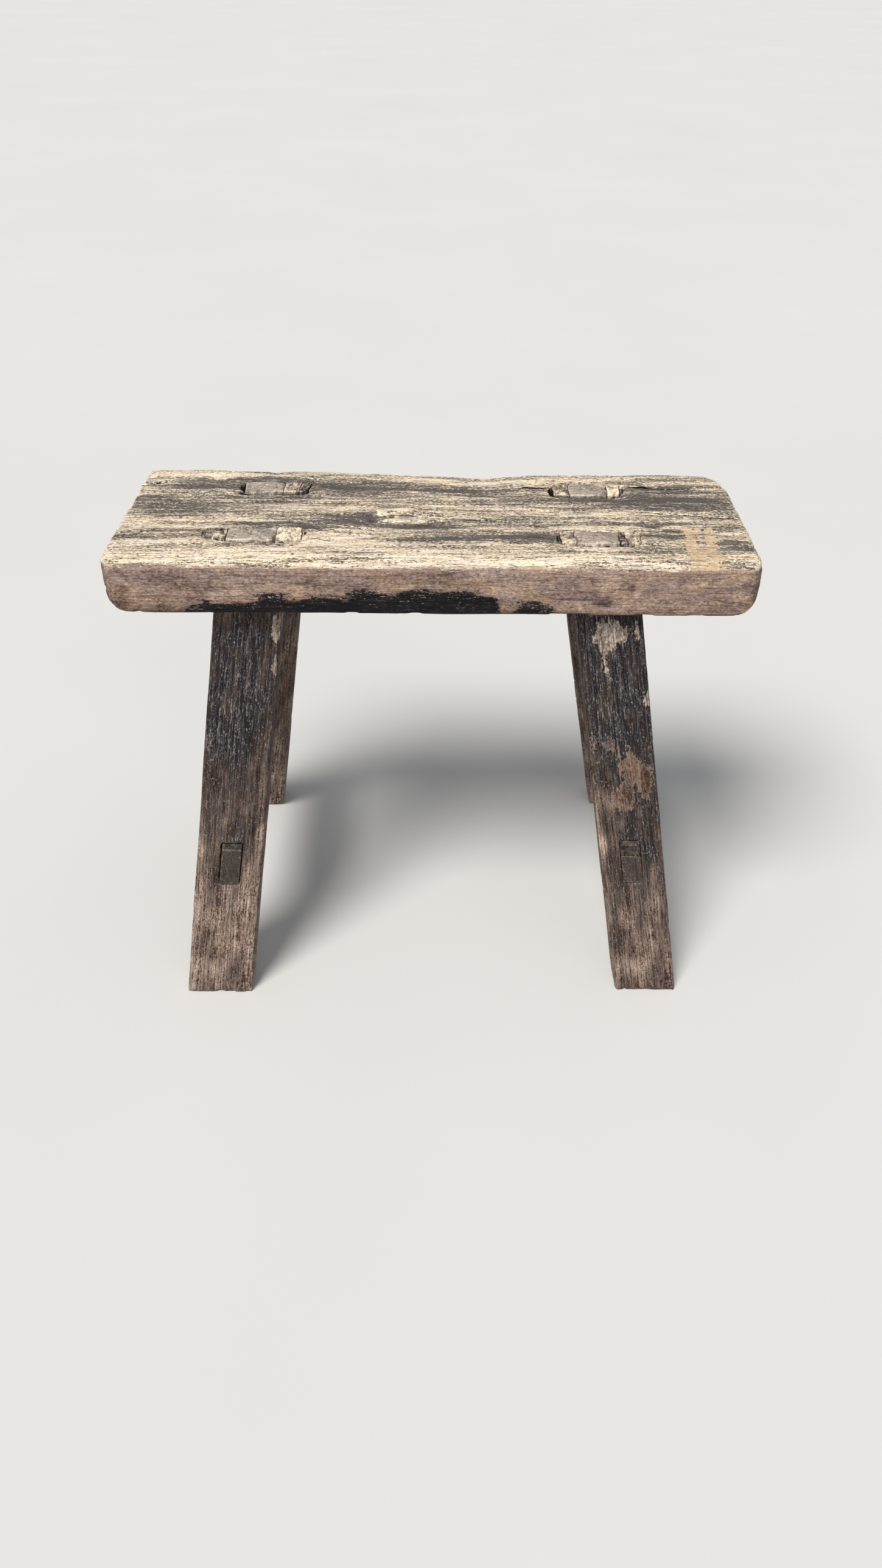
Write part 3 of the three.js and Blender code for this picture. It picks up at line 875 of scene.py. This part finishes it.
def leg_board(side, seed):
    node = "leg_" + side
    leg = Board(node, LEG_VOXEL, "Z", leg_lean(node), stretch=1.7)
    u, v, z = leg.rest.T
    outward = -1 if side.startswith("front") else 1
    outer = smoothstep(0.4, 0.8, leg.facing[:, 1] * outward)
    shank = smoothstep(SEAT_BOTTOM - 2, SEAT_BOTTOM - 4, z)
    beside = (np.abs(u) < LEG_MORTISE_HALF_WIDTH) * (z > LEG_MORTISE_LOW) * (z < LEG_MORTISE_HIGH)
    in_mortise = beside * smoothstep(0.5, 3, LEG_HALF_DEPTH - np.abs(v))
    outside = 1 - in_mortise
    calm = 1 - 0.8 * beside * smoothstep(9, 8, np.abs(u))

    follow_seat(leg, proud=0.25)
    leg.sink(outside * shank * (0.9 * fractal(leg.rest, (16, 12, 45), 31 + seed) - 0.35))
    leg.soften(12, outside * calm * (0.2 + 0.7 * fractal(leg.rest, 13, 40 + seed)))
    chips(leg, 1.0, (5, 5, 11), 50 + seed)
    relief = fractal(leg.grain, (50, 1.9, 1.9), 60 + seed, 3)
    leg.fields["relief"] = relief
    leg.sink(outside * 0.5 * (0.62 - relief))
    dents = fractal(leg.rest, (4, 4, 6), 65 + seed, 2)
    leg.sink(outside * 0.8 * smoothstep(0.64, 0.78, dents))
    flakes = outer * zone_sum(u, z, LEG_FLAKES[side])
    leg.sink(0.35 * smoothstep(0.4, 0.6, flakes + 0.9 * (fractal(leg.rest, 5, 75 + seed) - 0.5)))
    tenon_top = smoothstep(SEAT_TOP - 6, SEAT_TOP - 3, z)
    leg.sink(-0.25 * tenon_top * fractal(leg.rest, 4, 77 + seed))
    leg.points[:, 2] -= leg.points[:, 2].min() * np.clip(1 - z / 30, 0, 1)

    paint = np.interp(z, *np.transpose(LEG_PAINT[side]))
    leg.fields["paint"] = paint * (0.72 + 0.28 * outer) + outer * zone_sum(u, z, LEG_ZONES[side])
    leg.fields["flake"] = flakes
    leg.fields["flake_warm"] = smoothstep(FLAKES_PALE_ABOVE, FLAKES_BROWN_BELOW, z)
    leg.fields["head"] = smoothstep(SEAT_TOP - 4, SEAT_TOP - 3, z)
    leg.fields["hole"] = in_mortise
    return leg


class LegLook(Graph):
    """The legs' material: its noises are made once, and each method mixes one layer from them."""

    def __init__(self):
        super().__init__("painted_leg")
        self.grain = self.vector("grain")
        self.islands = self.noise(self.grain, (22, 7, 7), 4, 0.6)
        self.streaks = self.noise(self.grain, (18, 1.2, 1.2), 4, 0.7, 7)
        self.fibres = self.noise(self.grain, (18, 0.6, 0.6), 3, 0.65, 13)
        self.specks = self.noise(self.grain, (2.0, 1.2, 1.2), 5, 0.75, 19)
        self.clouds = self.noise(self.grain, (18, 12, 12), 3, 0.5, 23)
        self.grit = self.noise(self.grain, (0.9, 0.7, 0.7), 3, 0.75, 31)
        self.edge = self.step(self.field("edge"), 0.1, 0.7)
        self.painted = self.sway(
            self.total(self.field("paint"), (self.edge, -0.25)),
            (self.islands, 1.2), (self.streaks, 0.7), (self.fibres, 0.6), (self.specks, 1.4),
            (self.grit, 1.0), (self.field("relief"), -0.35),
        )
        self.thick = self.step(self.painted, 0.5, 0.57)
        self.flake = self.sway(
            self.field("flake"), (self.specks, 1.6), (self.streaks, 1.0), (self.islands, 2.0),
            (self.grit, 0.6),
        )
        self.bare = self.step(self.flake, 0.5, 0.54)

    def wood(self):
        """Brown wood, darker where the paint has only thinned."""
        tone = self.sway(
            self.total(0.76, (self.field("paint"), -0.7)),
            (self.streaks, 1.4), (self.fibres, 1.9), (self.specks, 2.2), (self.grit, 1.9),
            (self.clouds, 1.4),
        )
        wood = self.ramp(
            tone, (0.0, 54, 42, 37), (0.3, 98, 79, 69), (0.6, 142, 120, 106), (0.85, 180, 158, 142),
            (1.0, 206, 186, 170),
        )
        stained = self.step(self.painted, 0.24, 0.5)
        return self.blend(self.times(stained, 0.75), wood, colour(70, 57, 51))

    def coat(self):
        """The black paint that is left."""
        tone = self.sway(
            0.46, (self.fibres, 1.5), (self.specks, 1.8), (self.grit, 1.8), (self.streaks, 1.0),
        )
        return self.ramp(
            tone, (0.15, 25, 25, 31), (0.4, 38, 37, 43), (0.65, 60, 57, 61), (0.85, 104, 98, 98),
            (1.0, 146, 136, 130),
        )

    def with_scuffs(self, base):
        """Fine light and dark along the fibres, and the nicks, scuffs and knocks of use."""
        shading = self.sway(0.5, (self.fibres, 1.4), (self.grit, 1.8), (self.specks, 0.8))
        shading = self.ramp(shading, (0.15, 164, 158, 154), (0.45, 250, 249, 248), (0.65, 255, 255, 255))
        base = self.blend(1.0, base, shading, "MULTIPLY")
        nicks = self.lines(self.grain, (22, 0.8, 0.8), 0.012, 61)
        base = self.blend(self.times(nicks, 0.7), base, colour(164, 151, 143))
        scuffs = self.lines(self.grain, (14, 2.4, 14), 0.009, 71, 0.12)
        scuffs = self.times(scuffs, self.step(self.islands, 0.5, 0.56))
        base = self.blend(self.times(scuffs, 0.6), base, colour(170, 158, 150))
        knocks = self.step(self.sway(0.5, (self.specks, 1.8), (self.grit, 1.2)), 0.76, 0.86)
        return self.blend(self.times(knocks, 0.75), base, colour(178, 164, 154))

    def with_flakes(self, base):
        """Patches where the paint came off clean, paler high up and browner low down, with a light rim."""
        tone = self.sway(
            0.5, (self.streaks, 1.0), (self.specks, 1.8), (self.clouds, 0.9), (self.grit, 1.1),
        )
        pale = self.ramp(tone, (0.2, 96, 80, 72), (0.5, 154, 136, 124), (0.8, 212, 198, 184))
        warm = self.ramp(tone, (0.15, 40, 30, 26), (0.5, 86, 65, 54), (0.85, 152, 126, 108))
        patch = self.blend(self.field("flake_warm"), pale, warm)
        base = self.blend(self.bare, base, patch)
        rim = self.times(self.step(self.flake, 0.44, 0.5), self.step(self.flake, 0.6, 0.54))
        return self.blend(self.times(rim, 0.7), base, colour(176, 156, 140))

    def tenon_head(self):
        """The end of the tenon in the seat's top: grey end grain with a pale lip."""
        rays = self.noise(self.grain, (8, 4, 1.1), 4, 0.7, 83)
        head = self.sway(0.5, (rays, 1.1), (self.specks, 1.1), (self.clouds, 0.9), (self.grit, 0.7))
        head = self.ramp(
            head, (0.1, 86, 79, 74), (0.4, 138, 128, 118), (0.6, 172, 158, 145), (0.85, 234, 218, 198),
        )
        lip = self.step(self.sway(self.edge, (self.specks, 1.2), (self.clouds, 0.8)), 0.22, 0.5)
        return self.blend(self.times(lip, 0.8), head, colour(214, 198, 176))


def leg_material():
    look = LegLook()
    base = look.blend(look.thick, look.wood(), look.coat())
    base = look.with_flakes(look.with_scuffs(base))
    head = look.field("head")
    base = look.blend(head, base, look.tenon_head())
    checks = look.lines(look.grain, (80, 1.8, 1.8), 0.012, 53)
    base = look.blend(look.times(checks, 0.6), base, colour(34, 27, 24))
    # The walls of the stretcher's mortise are painted near-black: painted shade in the gap between leg and
    # stretcher.
    base = look.blend(look.field("hole"), base, colour(30, 24, 21))

    coat_step = look.math("SUBTRACT", look.thick, look.bare)
    height = look.total(
        0.0, (look.specks, 1.3), (look.fibres, 0.5), (look.streaks, 0.9), (coat_step, 0.1), (checks, -0.2),
    )
    height = look.times(height, look.total(1.0, (head, -0.75)))
    return look.finish(base, look.sway(0.66, (look.specks, 0.3)), height)


# ---- the stretchers ----

# How far from its middle a stretcher is worn, and where its tenons' close fit begins.
WORN_WITHIN, CLOSE_FIT_BEYOND = 62, 72


def stretcher_board(node, seed):
    board = Board(node, STRETCHER_VOXEL, "Y")
    middle = smoothstep(CLOSE_FIT_BEYOND, WORN_WITHIN, np.abs(board.rest[:, 1]))
    board.sink(middle * 0.4 * fractal(board.rest, (14, 40, 14), 70 + seed) - 0.12 * (1 - middle))
    board.soften(8, (0.3 + 0.7 * middle) * (0.3 + 0.6 * fractal(board.rest, 12, 80 + seed)))
    relief = fractal(board.grain, (50, 2.2, 2.2), 90 + seed, 3)
    board.sink(0.1 + 0.35 * middle * (0.6 - relief))
    board.fields["tip"] = smoothstep(0.4, 0.8, np.abs(board.facing[:, 1])) * (1 - middle)
    return board


def stretcher_material():
    graph = Graph("aged_stretcher")
    grain = graph.vector("grain")
    streaks = graph.noise(grain, (22, 1.4, 1.4), 4, 0.65, 7)
    fibres = graph.noise(grain, (14, 0.5, 0.5), 3, 0.6, 13)
    specks = graph.noise(grain, (0.9, 0.9, 0.9), 3, 0.65, 19)
    tone = graph.sway(0.5, (streaks, 1.0), (fibres, 0.7), (specks, 0.6))
    base = graph.ramp(tone, (0.15, 50, 40, 35), (0.45, 86, 70, 60), (0.65, 116, 96, 82), (0.9, 156, 134, 116))
    saw = graph.noise(grain, (8, 0.7, 6), 4, 0.7, 29, 0.5)
    cut = graph.sway(0.5, (saw, 1.2), (specks, 0.5))
    tip = graph.ramp(cut, (0.15, 36, 32, 31), (0.45, 57, 51, 48), (0.65, 76, 68, 63), (0.9, 128, 114, 104))
    lip = graph.step(graph.sway(graph.field("edge"), (specks, 1.4), (streaks, 1.2)), 0.2, 0.4)
    tip = graph.blend(graph.times(lip, 0.5), tip, colour(150, 130, 116))
    base = graph.blend(graph.field("tip"), base, tip)
    height = graph.total(0.0, (specks, 0.4), (fibres, 0.4))
    return graph.finish(base, graph.sway(0.72, (specks, 0.25)), height)


# ---- the wedges and shims ----

# How pale each is, from 0, nearly black, to 1, cream, and how crumbly its head is. Those in the legs
# are less mottled than those in the seat.
WEDGE_LOOKS = {
    "seat_wedge_front_left_outer": (0.46, 1.2), "seat_wedge_front_left_inner": (0.72, 1.9),
    "seat_wedge_front_right_inner": (0.6, 1.1), "seat_wedge_front_right_outer": (0.6, 0.7),
    "seat_shim_front_right": (0.25, 0.9), "seat_wedge_back_left_inner": (0.55, 1.0),
    "seat_shim_back_left": (0.3, 1.2), "seat_wedge_back_right_inner": (0.36, 1.4),
    "seat_wedge_back_right_outer": (0.7, 0.8), "stretcher_wedge_front_left": (0.13, 0.5),
    "stretcher_wedge_front_right": (0.15, 0.6), "stretcher_shim_front_right": (0.12, 0.9),
    "stretcher_wedge_back_left": (0.12, 0.6), "stretcher_wedge_back_right": (0.12, 0.6),
}
SEAT_CONTRAST, LEG_CONTRAST = 1.0, 0.35


def wedge_board(node, seed):
    in_seat = node.startswith("seat")
    board = Board(node, WEDGE_VOXEL, "Z" if in_seat else "Y", stretch=1.0)
    if in_seat:
        follow_seat(board, proud=0.1)
    board.soften(5, 0.2 + 0.7 * fractal(board.rest, 3, 100 + seed))
    head = smoothstep(0.4, 0.8, board.facing[:, 2] if in_seat else np.abs(board.facing[:, 1]))
    crumbs = fractal(board.rest, (1.8, 3.5, 3.5), 120 + seed, 4)
    tint, crumbling = WEDGE_LOOKS[node]
    board.sink(head * 1.5 * crumbling * (crumbs - 0.35))
    board.sink(-0.22 * smoothstep(0.6, 0.2, np.abs(head - 0.5)) * crumbs)
    board.fields["crumbs"] = crumbs
    board.fields["tint"] = np.full(len(board.rest), tint)
    board.fields["contrast"] = np.full(len(board.rest), SEAT_CONTRAST if in_seat else LEG_CONTRAST)
    return board


def wedge_material():
    graph = Graph("driven_wedge")
    grain = graph.vector("grain")
    splits = graph.noise(grain, (4, 0.8, 2.4), 4, 0.7, 7)
    specks = graph.noise(grain, (1.4, 1.1, 1.1), 5, 0.8, 19)
    edge = graph.step(graph.field("edge"), 0.05, 0.3)
    tone = graph.sway(0.0, (splits, 1.2), (specks, 2.6), (graph.field("crumbs"), -1.3))
    tone = graph.total(graph.field("tint"), (tone, graph.field("contrast")), (edge, 0.25))
    base = graph.ramp(
        tone, (0.0, 34, 30, 29), (0.2, 84, 76, 71), (0.4, 128, 117, 108), (0.6, 172, 156, 140),
        (0.78, 214, 192, 162), (1.0, 244, 230, 206),
    )
    height = graph.total(0.0, (specks, 0.45), (splits, 0.45))
    return graph.finish(base, 0.8, height)


# ---- the pieces ----

seat_board().piece(seat_material(), "seat_wood")

leg_wood = leg_material()
for seed, side in enumerate(("front_left", "front_right", "back_left", "back_right")):
    leg_board(side, 7 * seed).piece(leg_wood, "leg_wood")

stretcher_wood = stretcher_material()
for seed, node in enumerate(("stretcher_left", "stretcher_right")):
    stretcher_board(node, 5 * seed).piece(stretcher_wood, "stretcher_wood")

wedge_wood = wedge_material()
for seed, node in enumerate(WEDGE_LOOKS):
    wedge_board(node, 3 * seed).piece(wedge_wood, "wedge_wood")
